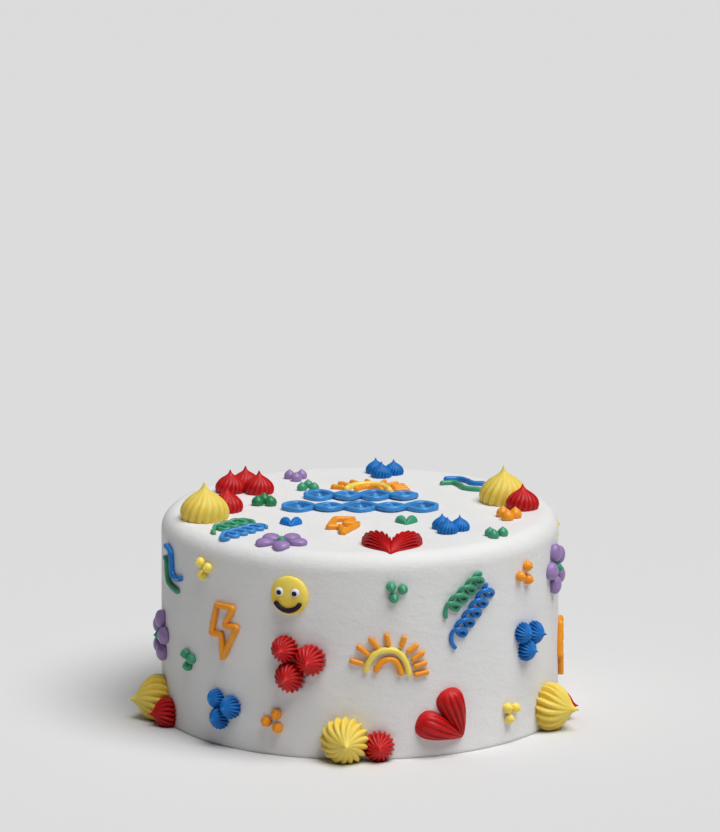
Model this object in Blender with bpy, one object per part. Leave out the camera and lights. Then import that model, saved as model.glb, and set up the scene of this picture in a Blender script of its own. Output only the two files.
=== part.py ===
"""A round celebration cake covered in white icing and piped decorations.

Metres, +Z up, the front towards -Y, the origin at the centre of the base.
Shapes are drawn in millimetres in a flat patch of icing, x to the right, y up
or back and z out of the icing, and then laid on the side or the top.
"""
import math

import bmesh
import bpy
from mathutils import Matrix, Vector

# Driving dimensions, in millimetres
MM = 0.001
CAKE_RADIUS = 100.0
CAKE_HEIGHT = 103.4
WALL_LEAN = 0.4
TOP_EDGE_RADIUS = 8.8
TOP_EDGE_STEPS = 3
WALL_SIDES = 48

GAP = 0.3            # between a separate piece and the icing it stands on
SINK = 0.6           # how far a fused topping reaches into the icing
FLOOR_GAP = 0.3      # below the lowest dollops
CLEARANCE = 0.5      # between two dollops that stand against each other

RIDGES = 17          # ridges that the star nozzle leaves
SMALL_RIDGES = 11    # the same on the smallest dollops, drawn coarser
HEART_RIDGES = 12    # the broader folds of a heart
RIDGE_DEPTH = 0.19   # share of the radius, at the rim
TWIST = math.radians(28)
DOLLOP_RISE = 1.53   # height over radius of a ridged dollop
DROP_RISE = 1.75     # height over radius of a small plain drop
DROP_SIDES = 5
MERGE = 0.001
SHARP_ANGLE = math.radians(40)

YELLOW_RADIUS = 12.35
TUBE_RADIUS = 1.35
TUBE_RISE = 1.9      # height over half width of a piped line
TUBE_SIDE = 0.7      # the same, of its widest place
TUBE_END = 0.75      # share of its width that a piped line has at its ends
PIPED_LINE_RADIUS = 1.5

# Outlines from the rim up: share of the height, share of the radius
DOLLOP_OUTLINE = ((0.08, 0.98), (0.42, 0.90), (0.70, 0.34))
SMALL_OUTLINE = ((0.12, 1.0), (0.52, 0.76))
DROP_OUTLINE = ((0.0, 0.88), (0.42, 0.90))
SMOOTH_NECK = 0.5    # narrower than this share, a dollop's ridges have run together

# A teardrop lies on its side: where each ring of it has its upper end, along
# the axis and up, where its lower end is along the axis, and its half width,
# in radii of its head. The axis runs from the head's centre to the point.
TEARDROP_RINGS = ((-0.98, 0.08, 0.92, 0.98), (-0.66, 0.84, 1.20, 0.98), (0.55, 0.96, 1.70, 0.74))
TAIL_RISE = 0.04      # height of its point, share of its own height
TOP_FADE = 0.5        # how much shallower its ridges are on top
HEART_LOBE_RADIUS = 7.3
HEART_LOBE_LENGTH = 19.6
HEART_HALF_ANGLE = math.radians(23.5)
# Icing that has run together along the seam of a heart
SEAM_RADIUS = 4.0
SEAM_LENGTH = 13.0
SEAM_HEIGHT = 4.4
SEAM_SIDES = 7

PETAL_COUNT = 5
PETAL_RADIUS = 4.45
PETAL_REACH = 9.0
PETAL_HEIGHT = 4.7
PETAL_SIDES = 7
PETAL_STOP = 0.8     # how far a petal's tail ends from the middle
PETAL_STEP = 0.05    # each petal lies this much above the one before
FLOWER_CENTRE_RADIUS = 2.8
FLOWER_CENTRE_HEIGHT = 5.4

FACE_RADIUS = 10.0
FACE_HEIGHT = 3.2
FACE_SIDES = 18
FACE_OUTLINE = ((0.0, 0.96), (0.45, 1.0), (0.90, 0.62))

# Colours: red, green, blue, roughness
COLOURS = {
    "white_icing": ((0.80, 0.79, 0.78), 0.6),
    "yellow_icing": ((0.78, 0.50, 0.05), 0.5),
    "red_icing": ((0.50, 0.012, 0.010), 0.5),
    "blue_icing": ((0.015, 0.14, 0.48), 0.5),
    "purple_icing": ((0.30, 0.17, 0.44), 0.5),
}

# Azimuth in degrees from the front, to the right, and height in millimetres
BASE_PAIRS = (
    ((-79.0, 10.4), (-70.8, 6.6)),
    ((-4.2, 11.0), (5.3, 7.6)),
    ((67.2, 11.4), (78.4, 7.4)),
    ((140.0, 11.0), (150.0, 7.4)),
    ((212.0, 10.8), (221.4, 7.2)),
)
BASE_RED_RADIUS = 8.1
TOP_PAIRS = (
    ("left", (-77.7, -20.6), YELLOW_RADIUS, (-66.8, -3.6), 7.7),
    ("right", (72.3, 16.2), YELLOW_RADIUS, (81.6, 1.8), 8.4),
)
# Each dollop of a trio: its place and its radius
TRIOS_ON_TOP = (
    ("red_trio_top", "red_icing", ((-65.7, 37.5, 7.7), (-58.1, 45.6, 7.7), (-51.1, 35.6, 7.7))),
    ("blue_trio_top_back", "blue_icing", ((8.0, 80.6, 5.2), (10.9, 71.2, 5.4), (17.2, 77.2, 5.2))),
    ("blue_trio_top_right", "blue_icing", ((40.8, -41.4, 5.1), (43.4, -50.6, 5.3), (49.5, -44.8, 5.1))),
)
TRIOS_ON_SIDE = (
    ("red_trio_front", "red_icing", ((-21.3, 54.9, 7.2), (-13.8, 50.4, 8.2), (-19.7, 41.0, 8.1))),
    ("blue_trio_left", "blue_icing", ((-44.8, 24.0, 5.0), (-39.1, 21.3, 6.0), (-43.3, 14.5, 5.8))),
    ("blue_trio_right", "blue_icing", ((52.9, 54.8, 5.4), (58.5, 52.9, 6.0), (54.6, 45.6, 5.8))),
    ("red_trio_back", "red_icing", ((128.9, 56.9, 7.2), (136.4, 52.4, 8.2), (130.5, 43.0, 8.1))),
    ("blue_trio_back", "blue_icing", ((215.0, 54.0, 5.0), (220.7, 51.4, 6.0), (216.6, 44.6, 5.8))),
)
DOTS_ON_TOP = (
    (3.1, ((-51.5, 8.4), (-48.2, 13.8), (-44.9, 7.9))),
    (2.85, ((-35.9, 67.5), (-32.4, 61.8), (-29.8, 68.0))),
    (2.6, ((-29.4, 41.0), (-26.3, 47.0), (-23.2, 40.6))),
    (3.3, ((71.4, -16.1), (73.7, -23.6), (77.6, -18.5))),
    (2.7, ((64.3, -57.2), (66.2, -66.0), (70.7, -60.8))),
)
DOTS_ON_SIDE = (
    (2.6, ((8.7, 87.8), (12.0, 86.3), (9.5, 82.1))),
    (2.8, ((-24.1, 21.4), (-27.2, 17.1), (-23.7, 14.4))),
    (2.6, ((-51.4, 91.2), (-48.2, 89.5), (-50.6, 85.1))),
    (2.6, ((-59.1, 41.8), (-56.0, 40.1), (-57.9, 35.9))),
    (2.8, ((53.6, 88.6), (50.9, 84.4), (54.3, 81.5))),
    (2.6, ((46.4, 18.6), (49.8, 17.5), (47.1, 12.7))),
    (2.6, ((103.5, 90.0), (106.7, 88.4), (104.2, 84.2))),
    (2.8, ((111.5, 27.0), (114.7, 25.2), (112.3, 20.6))),
    (2.8, ((156.0, 47.0), (159.4, 45.4), (156.8, 40.6))),
    (2.6, ((170.0, 90.4), (173.4, 89.0), (170.8, 84.7))),
    (2.8, ((249.0, 89.0), (252.4, 87.6), (249.8, 82.9))),
)
HEARTS = (
    ("heart_front", "side", (30.2, 8.6), 133.5),
    ("heart_back", "side", (188.0, 8.6), 133.5),
    ("heart_top", "top", (14.9, -93.6), 87.5),
)
SMALL_HEARTS = ((-34.4, -38.0), (23.1, -34.6))
SMALL_LOBE_RADIUS = 3.1
SMALL_LOBE_LENGTH = 6.2
SMALL_LOBE_HEIGHT = 3.0
SMALL_LOBE_SIDES = 8
FLOWERS = (
    ("flower_left", "side", (-80.2, 41.2), 10.0),
    ("flower_right", "side", (77.0, 77.8), 36.0),
    ("flower_top", "top", (-39.5, -73.3), 54.0),
)
FACE_SPOT = (-20.2, 82.2)
EYES = ((-4.4, 1.95), (3.75, 1.9))
EYE_RADIUS = 2.2
EYE_HEIGHT = 1.7
MOUTH_RADIUS = 6.9
MOUTH_LINE_RADIUS = 0.95
MOUTH_SINK = 1.2
MOUTH_CENTRE = (0.0, -0.3)
MOUTH_SWEEP = (205.0, 335.0)
MOUTH_STEPS = 5

SUNS = (("side", (7.9, 44.0)), ("top", (4.4, 37.4)))
SUN_ARCHES = (
    ((-11.5, 0.7), (-9.9, 5.5), (-5.6, 10.7), (0.3, 12.0), (5.5, 9.9), (8.9, 4.9), (10.7, -2.0)),
    ((-6.7, 0.5), (-4.2, 4.9), (0.3, 7.2), (4.3, 5.2), (6.4, -1.5)),
)
SUN_RAYS = (
    ((-17.9, 6.6), (-13.4, 5.4)), ((-14.4, 13.4), (-10.4, 10.1)), ((-8.5, 17.3), (-5.8, 13.8)),
    ((-0.9, 19.1), (0.1, 15.0)), ((8.0, 17.5), (6.8, 14.1)), ((14.1, 13.2), (10.4, 10.7)),
    ((17.3, 9.4), (12.8, 6.7)), ((18.6, 4.2), (13.7, 3.0)), ((19.6, -0.4), (14.1, -1.3)),
)

BOLT = ((-3.5, 13.0), (7.3, 13.0), (1.9, 3.5), (9.6, 3.5), (0.8, -13.0), (-0.4, -1.5), (-7.2, -2.0))
BOLTS = (
    ("side", (-42.6, 59.4), 1.0, 1.0),
    ("side", (87.4, 32.9), 1.0, 1.04),
    ("side", (235.0, 62.0), 1.0, 1.0),
    ("top", (-9.4, -41.5), 0.86, 1.1),
)

# Streamers: a wavy line through its own points, on the side or the top
STREAMERS = (
    ("side", (-70.0, 84.0), ((-8.0, 7.2), (-2.3, 6.7), (1.2, 5.3), (2.1, 1.3), (2.6, -3.1),
                             (4.9, -5.8), (8.7, -6.3), (14.5, -4.9))),
    ("side", (-70.0, 84.0), ((-10.1, 0.4), (-6.4, 0.7), (-5.2, -2.6), (-4.5, -7.1), (-2.4, -10.0),
                             (2.3, -11.7), (10.8, -12.7))),
    ("side", (112.0, 66.0), ((-9.0, 13.0), (-3.0, 12.0), (-0.5, 6.0), (0.5, 0.0), (5.0, -4.5),
                             (12.0, -4.0))),
    ("side", (112.0, 58.0), ((-13.0, 12.0), (-7.5, 10.5), (-5.5, 4.0), (-4.0, -2.5), (0.5, -6.0),
                             (8.5, -6.0))),
    ("top", (52.0, 56.0), ((-9.5, 5.5), (-1.5, 5.8), (2.5, 1.5), (5.5, -4.0), (12.0, -5.0))),
    ("top", (52.0, 46.0), ((-11.5, 6.0), (-4.5, 7.5), (-1.5, 2.5), (1.5, -5.0), (7.5, -7.5),
                           (12.0, -7.3))),
)

# Coils: a short tail, then curls along a line, then a short end
COILS = (
    ("side", (24.8, 69.0), ((0.1, 0.5), (-0.3, 4.5)), (2.9, 6.9), (16.3, 17.8), (21.0, 20.7)),
    ("side", (28.2, 53.8), ((-0.2, -0.1), (-2.9, 4.9)), (0.8, 8.4), (17.0, 25.8), (18.2, 30.2)),
    ("top", (-71.9, -56.1), ((0.0, 0.0), (-0.8, 6.2)), (2.4, 10.2), (11.5, 22.0), (18.8, 24.0)),
    ("top", (-64.8, -72.5), ((0.0, 0.0), (-3.1, 6.7)), (-0.2, 12.4), (11.8, 27.6), (18.0, 30.0)),
)
COIL_CURLS = 4
COIL_HALF_WIDTH = 3.0
COIL_TUBE_RADIUS = 1.2
COIL_STEPS = 4

# Two rows of a braided border with beads in its eyes
BRAIDS = (((-28.0, 24.0), 57.0, 4), ((-39.0, -1.0), 78.0, 5))
BRAID_HALF_WIDTH = 6.8
BRAID_STEPS = 3
BEAD_RADIUS = 2.2


def wall_radius(height):
    """The icing's radius at a height, millimetres."""
    radius = CAKE_RADIUS - WALL_LEAN * height / CAKE_HEIGHT
    above = height - (CAKE_HEIGHT - TOP_EDGE_RADIUS)
    if above <= 0:
        return radius
    above = min(above, TOP_EDGE_RADIUS)
    return radius - TOP_EDGE_RADIUS + math.sqrt(TOP_EDGE_RADIUS ** 2 - above ** 2)


def top_height(radius):
    """The icing's height at a distance from the axis, millimetres."""
    beyond = radius - (CAKE_RADIUS - WALL_LEAN - TOP_EDGE_RADIUS)
    if beyond <= 0:
        return CAKE_HEIGHT
    beyond = min(beyond, TOP_EDGE_RADIUS)
    return CAKE_HEIGHT - TOP_EDGE_RADIUS + math.sqrt(TOP_EDGE_RADIUS ** 2 - beyond ** 2)


def turned(x, y, angle):
    return (x * math.cos(angle) - y * math.sin(angle), x * math.sin(angle) + y * math.cos(angle))


def on_side(azimuth, height, turn=0.0, lift=0.0):
    """A placer that lays a flat patch on the wall, lengths kept at each depth."""
    def place(point):
        x, y = turned(point.x, point.y, turn)
        reach = wall_radius(height + y) + point.z + lift
        angle = math.radians(azimuth) + x / reach
        return Vector((reach * math.sin(angle), -reach * math.cos(angle), height + y)) * MM
    return place


def on_top(x0, y0, turn=0.0, lift=0.0):
    """A placer that lays a flat patch on the top."""
    def place(point):
        x, y = turned(point.x, point.y, turn)
        x += x0
        y += y0
        return Vector((x, y, top_height(math.hypot(x, y)) + point.z + lift)) * MM
    return place


def placer(where, spot, turn=0.0, lift=0.0):
    if where == "side":
        return on_side(spot[0], spot[1], turn, lift)
    return on_top(spot[0], spot[1], turn, lift)


def material(slot):
    made = bpy.data.materials.get(slot)
    if made:
        return made
    colour, roughness = COLOURS[slot]
    made = bpy.data.materials.new(slot)
    made.use_nodes = True
    shader = made.node_tree.nodes["Principled BSDF"]
    shader.inputs["Base Color"].default_value = (*colour, 1.0)
    shader.inputs["Roughness"].default_value = roughness
    shader.inputs["Metallic"].default_value = 0.0
    return made


def new_object(name, shape, collection, place=None):
    """Make an object from a bmesh, laid on the cake when a placer is given."""
    if place:
        for vertex in shape.verts:
            vertex.co = place(vertex.co)
    bmesh.ops.recalc_face_normals(shape, faces=shape.faces)
    mesh = bpy.data.meshes.new(name)
    shape.to_mesh(mesh)
    shape.free()
    made = bpy.data.objects.new(name, mesh)
    collection.objects.link(made)
    return made


def ball_of_rings(sides, rings):
    """A ball as a start for turned forms, with the ring and spoke of each vertex."""
    shape = bmesh.new()
    bmesh.ops.create_uvsphere(shape, u_segments=sides, v_segments=rings + 1, radius=1.0)
    places = []
    for vertex in shape.verts:
        polar = math.acos(max(-1.0, min(1.0, -vertex.co.z)))
        ring = round(polar / math.pi * (rings + 1))
        spoke = round(math.atan2(vertex.co.y, vertex.co.x) * sides / math.tau)
        places.append((vertex, ring, spoke))
    return shape, places


def dollop(radius, height, outline, ridges=RIDGES, twist=TWIST):
    """A pointed dollop that stands on z = 0, ridged by a star nozzle or plain."""
    ridged = ridges > 0
    sides = 2 * ridges if ridged else DROP_SIDES
    rings = len(outline)
    shape, places = ball_of_rings(sides, rings)
    for vertex, ring, spoke in places:
        if ring == 0:
            vertex.co = (0.0, 0.0, 0.0)
        elif ring > rings:
            vertex.co = (0.0, 0.0, height)
        else:
            rise, share = outline[ring - 1]
            if ridged and share < SMOOTH_NECK:
                spoke -= spoke % 2
            groove = RIDGE_DEPTH * (1.0 - rise) if ridged and spoke % 2 else 0.0
            reach = radius * share * (1.0 - groove)
            angle = spoke * math.tau / sides + twist * rise
            vertex.co = (reach * math.cos(angle), reach * math.sin(angle), height * rise)
    bmesh.ops.remove_doubles(shape, verts=shape.verts, dist=MERGE)
    return shape


def teardrop(radius, length, height, sides, ridged=False):
    """A drop on its side: its head round the origin, its point at y = -length."""
    rings = len(TEARDROP_RINGS)
    shape, places = ball_of_rings(sides, rings)
    stretch = length / (HEART_LOBE_LENGTH / HEART_LOBE_RADIUS)
    for vertex, ring, spoke in places:
        if ring == 0:
            vertex.co = (0.0, 0.0, 0.0)
            continue
        if ring > rings:
            vertex.co = (0.0, -length, TAIL_RISE * height)
            continue
        upper, rise, lower, half_width = TEARDROP_RINGS[ring - 1]
        upper *= radius if upper < 0 else stretch
        lower *= stretch if lower > 1 else radius
        angle = spoke * math.tau / sides
        share = 0.5 + 0.5 * math.sin(angle)
        groove = RIDGE_DEPTH * (1.0 - TOP_FADE * rise) if ridged and spoke % 2 else 0.0
        middle = (lower + upper) / 2
        along = middle + (upper - lower) * (share - 0.5) * (1.0 - groove)
        across = half_width * radius * math.cos(angle) * (1.0 - groove)
        vertex.co = (across, -along, height * rise * share * (1.0 - TOP_FADE * groove))
    return shape


def tube(points, radius, closed=False):
    """A piped line through points in the flat patch, sunk a little into it."""
    curve = bpy.data.curves.new("piped_line", "CURVE")
    curve.dimensions = "3D"
    curve.bevel_depth = radius
    curve.bevel_resolution = 0
    curve.use_fill_caps = True
    spline = curve.splines.new("POLY")
    spline.points.add(len(points) - 1)
    for knot, point in zip(spline.points, points):
        knot.co = (point[0], point[1], 0.0, 1.0)
    spline.use_cyclic_u = closed
    if not closed:
        spline.points[0].radius = TUBE_END
        spline.points[-1].radius = TUBE_END
    holder = bpy.data.objects.new("piped_line", curve)
    bpy.context.scene.collection.objects.link(holder)
    depsgraph = bpy.context.evaluated_depsgraph_get()
    mesh = bpy.data.meshes.new_from_object(holder.evaluated_get(depsgraph))
    shape = bmesh.new()
    shape.from_mesh(mesh)
    bmesh.ops.remove_doubles(shape, verts=shape.verts, dist=MERGE)
    for vertex in shape.verts:
        if vertex.co.z > 0.5 * radius:
            vertex.co.z = TUBE_RISE * radius
        elif vertex.co.z > -0.5 * radius:
            vertex.co.z = TUBE_SIDE * radius
        else:
            vertex.co.z = -SINK
    bpy.data.meshes.remove(mesh)
    bpy.data.objects.remove(holder)
    bpy.data.curves.remove(curve)
    return shape


def arc(centre, radius, sweep, steps):
    """Points along part of a circle, sweep in degrees."""
    points = []
    for step in range(steps + 1):
        angle = math.radians(sweep[0] + (sweep[1] - sweep[0]) * step / steps)
        points.append((centre[0] + radius * math.cos(angle), centre[1] + radius * math.sin(angle)))
    return points


def coil_points(tail, first, last, end):
    """A curled line: its tail, curls from the first to the last place, its end."""
    steps = COIL_CURLS * COIL_STEPS
    run = Vector(last) - Vector(first)
    across = run.orthogonal().normalized() * COIL_HALF_WIDTH
    points = list(tail)
    for step in range(steps + 1):
        middle = Vector(first) + run * step / steps
        points.append(tuple(middle + across * math.cos(math.tau * COIL_CURLS * step / steps)))
    points.append(end)
    return points


def join(target, collection):
    """Fuse the collection's objects to the target, and remove them."""
    union = target.modifiers.new("fuse", "BOOLEAN")
    union.operation = "UNION"
    union.operand_type = "COLLECTION"
    union.collection = collection
    union.solver = "EXACT"
    apply_modifiers(target)
    for item in list(collection.objects):
        bpy.data.objects.remove(item)
    bpy.data.collections.remove(collection)


def apply_modifiers(target):
    depsgraph = bpy.context.evaluated_depsgraph_get()
    mesh = bpy.data.meshes.new_from_object(target.evaluated_get(depsgraph))
    target.modifiers.clear()
    old = target.data
    target.data = mesh
    bpy.data.meshes.remove(old)


def finish(target, slot):
    target.data.materials.clear()
    target.data.materials.append(material(slot))
    target.data.shade_smooth()
    target.data.set_sharp_from_angle(angle=SHARP_ANGLE)


def spare_collection(name):
    collection = bpy.data.collections.new(name)
    bpy.context.scene.collection.children.link(collection)
    return collection


def fused_node(name, slot, shapes, cake):
    """One node from several overlapping shapes, each a (bmesh, placer) pair."""
    first = new_object(name, shapes[0][0], cake, shapes[0][1])
    others = spare_collection(name + "_parts")
    for number, (shape, place) in enumerate(shapes[1:]):
        new_object(f"{name}_part_{number}", shape, others, place)
    join(first, others)
    finish(first, slot)
    return first


def rest_on_floor(target):
    """Flatten a dollop where it reaches the surface that the cake stands on."""
    for vertex in target.data.vertices:
        vertex.co.z = max(vertex.co.z, FLOOR_GAP * MM)


def cut_clear(target, radius, place):
    """Cut a piece back to a small gap from its larger neighbour."""
    cutters = spare_collection("cutters")
    shape = dollop(radius + CLEARANCE, radius * DOLLOP_RISE, DOLLOP_OUTLINE)
    foot = min(shape.verts, key=lambda vertex: vertex.co.z)
    foot.co.z = -radius
    cutter = new_object("neighbour", shape, cutters, place)
    cutter.hide_render = True
    cutter.display_type = "WIRE"
    cut = target.modifiers.new("clear", "BOOLEAN")
    cut.operation = "DIFFERENCE"
    cut.object = cutter
    cut.solver = "EXACT"
    apply_modifiers(target)
    bpy.data.objects.remove(cutter)
    bpy.data.collections.remove(cutters)


def dollop_node(name, radius, place, cake):
    return new_object(name, dollop(radius, radius * DOLLOP_RISE, DOLLOP_OUTLINE), cake, place)


def add_pairs(cake):
    """A large yellow dollop with a smaller red one against it."""
    for number, (yellow, red) in enumerate(BASE_PAIRS, 1):
        place = on_side(*yellow, lift=GAP)
        large = dollop_node(f"yellow_base_{number}", YELLOW_RADIUS, place, cake)
        rest_on_floor(large)
        finish(large, "yellow_icing")
        small = dollop_node(f"red_base_{number}", BASE_RED_RADIUS, on_side(*red, lift=GAP), cake)
        rest_on_floor(small)
        cut_clear(small, YELLOW_RADIUS, place)
        finish(small, "red_icing")
    for label, yellow, yellow_radius, red, red_radius in TOP_PAIRS:
        place = on_top(*yellow, lift=GAP)
        large = dollop_node(f"yellow_top_{label}", yellow_radius, place, cake)
        finish(large, "yellow_icing")
        small = dollop_node(f"red_top_{label}", red_radius, on_top(*red, lift=GAP), cake)
        cut_clear(small, yellow_radius, place)
        finish(small, "red_icing")


def add_trios(cake):
    for where, rows in (("side", TRIOS_ON_SIDE), ("top", TRIOS_ON_TOP)):
        for name, slot, dollops in rows:
            small = slot == "blue_icing"
            outline = SMALL_OUTLINE if small else DOLLOP_OUTLINE
            ridges = SMALL_RIDGES if small else RIDGES
            shapes = []
            for across, up, radius in dollops:
                shape = dollop(radius, radius * DOLLOP_RISE, outline, ridges)
                shapes.append((shape, placer(where, (across, up), lift=GAP)))
            fused_node(name, slot, shapes, cake)


def about_point(angle, length):
    """Bring a teardrop's head out along an angle, its point at the origin."""
    return Matrix.Rotation(angle - math.pi / 2, 4, "Z") @ Matrix.Translation((0.0, length, 0.0))


def heart_shapes(where, point, axis, radius, length, height, sides, ridged, lift):
    shapes = []
    for side in (-1, 1):
        angle = math.radians(axis) + side * HEART_HALF_ANGLE
        shape = teardrop(radius, length, height, sides, ridged)
        bmesh.ops.transform(shape, matrix=about_point(angle, length), verts=shape.verts)
        shapes.append((shape, placer(where, point, lift=lift)))
    return shapes


def add_hearts(cake):
    for name, where, point, axis in HEARTS:
        shapes = heart_shapes(where, point, axis, HEART_LOBE_RADIUS, HEART_LOBE_LENGTH,
                              HEART_LOBE_RADIUS, 2 * HEART_RIDGES, True, GAP)
        seam = teardrop(SEAM_RADIUS, SEAM_LENGTH, SEAM_HEIGHT, SEAM_SIDES)
        bmesh.ops.transform(seam, matrix=about_point(math.radians(axis), SEAM_LENGTH), verts=seam.verts)
        shapes.append((seam, placer(where, point, lift=GAP + PETAL_STEP)))
        fused_node(name, "red_icing", shapes, cake)


def add_flowers(cake):
    for name, where, spot, first_angle in FLOWERS:
        shapes = []
        for petal in range(PETAL_COUNT):
            angle = math.radians(first_angle) + petal * math.tau / PETAL_COUNT
            shape = teardrop(PETAL_RADIUS, PETAL_REACH - PETAL_STOP, PETAL_HEIGHT, PETAL_SIDES)
            bmesh.ops.transform(shape, matrix=about_point(angle, PETAL_REACH), verts=shape.verts)
            shapes.append((shape, placer(where, spot, lift=GAP + PETAL_STEP * petal)))
        centre = dollop(FLOWER_CENTRE_RADIUS, FLOWER_CENTRE_HEIGHT, DROP_OUTLINE, ridges=0, twist=0.0)
        shapes.append((centre, placer(where, spot, lift=GAP - PETAL_STEP)))
        fused_node(name, "purple_icing", shapes, cake)


def add_face(cake):
    """A smiling face: a domed disc with two eyes and a mouth."""
    rings = len(FACE_OUTLINE)
    disc, places = ball_of_rings(FACE_SIDES, rings)
    for vertex, ring, spoke in places:
        rise, share = ((0.0, 0.0), *FACE_OUTLINE, (1.0, 0.0))[ring]
        angle = spoke * math.tau / FACE_SIDES
        reach = FACE_RADIUS * share
        vertex.co = (reach * math.cos(angle), reach * math.sin(angle), FACE_HEIGHT * rise)
    place = placer("side", FACE_SPOT, lift=GAP)
    shapes = [(disc, place)]
    for x, y in EYES:
        eye = dollop(EYE_RADIUS, EYE_HEIGHT, DROP_OUTLINE, ridges=0, twist=0.0)
        bmesh.ops.translate(eye, vec=(x, y, FACE_HEIGHT - SINK), verts=eye.verts)
        shapes.append((eye, place))
    mouth = tube(arc(MOUTH_CENTRE, MOUTH_RADIUS, MOUTH_SWEEP, MOUTH_STEPS), MOUTH_LINE_RADIUS)
    bmesh.ops.translate(mouth, vec=(0.0, 0.0, FACE_HEIGHT - MOUTH_SINK), verts=mouth.verts)
    shapes.append((mouth, place))
    fused_node("smiling_face", "yellow_icing", shapes, cake)


def add_fused(collection):
    """The small toppings that are part of the icing."""
    def add(label, shape, place):
        new_object(f"{label}_{len(collection.objects)}", shape, collection, place)

    for where, rows in (("side", DOTS_ON_SIDE), ("top", DOTS_ON_TOP)):
        for radius, spots in rows:
            for spot in spots:
                drop = dollop(radius, radius * DROP_RISE + SINK, DROP_OUTLINE, ridges=0, twist=0.0)
                add("dot", drop, placer(where, spot, lift=-SINK))
    for where, centre in SUNS:
        place = placer(where, centre)
        for points in SUN_ARCHES + SUN_RAYS:
            add("sun", tube(points, TUBE_RADIUS), place)
    for where, centre, wide, tall in BOLTS:
        corners = [(x * wide, y * tall) for x, y in BOLT]
        add("bolt", tube(corners, TUBE_RADIUS, closed=True), placer(where, centre))
    for where, centre, points in STREAMERS:
        add("streamer", tube(points, TUBE_RADIUS), placer(where, centre))
    for where, spot, tail, first, last, end in COILS:
        line = coil_points(tail, first, last, end)
        add("coil", tube(line, COIL_TUBE_RADIUS), placer(where, spot))
    for point in SMALL_HEARTS:
        for shape, place in heart_shapes("top", point, 90.0, SMALL_LOBE_RADIUS, SMALL_LOBE_LENGTH,
                                         SMALL_LOBE_HEIGHT + SINK, SMALL_LOBE_SIDES, False, -SINK):
            add("small_heart", shape, place)
    for (x0, y0), length, loops in BRAIDS:
        steps = loops * BRAID_STEPS
        for side in (-1, 1):
            points = []
            for step in range(steps + 1):
                wave = side * math.sin(math.pi * loops * step / steps)
                points.append((x0 + length * step / steps, y0 + BRAID_HALF_WIDTH * wave))
            add("braid", tube(points, PIPED_LINE_RADIUS), on_top(0.0, 0.0))
        for loop in range(loops):
            spot = (x0 + length * (loop + 0.5) / loops, y0)
            bead = dollop(BEAD_RADIUS, BEAD_RADIUS + SINK, DROP_OUTLINE, ridges=0, twist=0.0)
            add("bead", bead, on_top(*spot, lift=-SINK))


def add_cake_body(cake):
    """The iced cylinder with a rounded top edge, and what is fused to it."""
    shape = bmesh.new()
    bmesh.ops.create_cone(shape, cap_ends=True, segments=WALL_SIDES, radius1=CAKE_RADIUS * MM,
                          radius2=(CAKE_RADIUS - WALL_LEAN) * MM, depth=CAKE_HEIGHT * MM)
    bmesh.ops.translate(shape, vec=(0.0, 0.0, CAKE_HEIGHT * MM / 2), verts=shape.verts)
    rim = []
    for edge in shape.edges:
        if all(vertex.co.z > CAKE_HEIGHT * MM / 2 for vertex in edge.verts):
            rim.append(edge)
    bmesh.ops.bevel(shape, geom=rim, offset=TOP_EDGE_RADIUS * MM, segments=TOP_EDGE_STEPS,
                    profile=0.5, affect="EDGES", offset_type="OFFSET")
    body = new_object("cake_body", shape, cake)
    small = spare_collection("small_toppings")
    add_fused(small)
    join(body, small)
    finish(body, "white_icing")


def main():
    for item in list(bpy.data.objects):
        bpy.data.objects.remove(item)
    cake = spare_collection("cake")
    add_cake_body(cake)
    add_pairs(cake)
    add_trios(cake)
    add_hearts(cake)
    add_flowers(cake)
    add_face(cake)


main()
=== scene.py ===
"""Looks of a white iced cake covered with piped buttercream decorations.

Shapes are drawn in millimetres in a flat patch of icing, x to the right, y up
or back and z out of the icing, and then laid on the side or the top in metres.
"""

import math

import bmesh
import bpy
import numpy as np
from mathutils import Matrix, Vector


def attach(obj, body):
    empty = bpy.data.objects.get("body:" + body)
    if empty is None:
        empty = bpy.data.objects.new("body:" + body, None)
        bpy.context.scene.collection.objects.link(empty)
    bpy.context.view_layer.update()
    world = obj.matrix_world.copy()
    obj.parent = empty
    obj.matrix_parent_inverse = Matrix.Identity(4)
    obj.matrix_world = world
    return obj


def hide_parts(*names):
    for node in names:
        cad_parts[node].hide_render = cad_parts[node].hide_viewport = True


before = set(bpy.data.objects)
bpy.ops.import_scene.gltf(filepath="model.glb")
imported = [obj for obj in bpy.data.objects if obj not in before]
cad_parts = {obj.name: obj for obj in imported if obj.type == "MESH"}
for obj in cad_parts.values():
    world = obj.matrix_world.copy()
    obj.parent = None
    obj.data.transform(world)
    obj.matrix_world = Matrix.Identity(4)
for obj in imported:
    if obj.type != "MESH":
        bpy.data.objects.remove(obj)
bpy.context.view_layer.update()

MM = 0.001
BODY = "root"

# The iced cylinder
CAKE_HEIGHT = 103.4
CAKE_RADIUS = 100.0
WALL_LEAN = 0.4         # how much narrower it is at the top
TOP_EDGE_RADIUS = 8.8
FOOT_EDGE = 0.5
WALL_START = 2.0        # lowest even ring of the wall
WALL_RINGS = 46
EDGE_RINGS = 14
TOP_RINGS = 26
INNER_RING = 3.0        # radius of the top's smallest ring
ICING_SIDES = 300
ICING_WAVES = ((46.0, 3, 0.10), (15.0, 4, 0.04))    # size, seed, depth
WAVES_TURN = (80.0, 20.0)   # where the unevenness turns from up to outward, over what width

# Dollops, drops and discs
RIDGES = 17             # ridges that the star nozzle leaves
TWIST = math.radians(28)
YELLOW_RADIUS = 12.35
BASE_RED_RADIUS = 8.1
DOLLOP_RISE = 1.53      # height over radius
DROP_RISE = 1.75
BEAD_RISE = 1.4
SINK = 0.5              # how far a topping reaches into the icing
FLOOR_GAP = 0.3         # lowest that a dollop at the foot reaches
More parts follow.
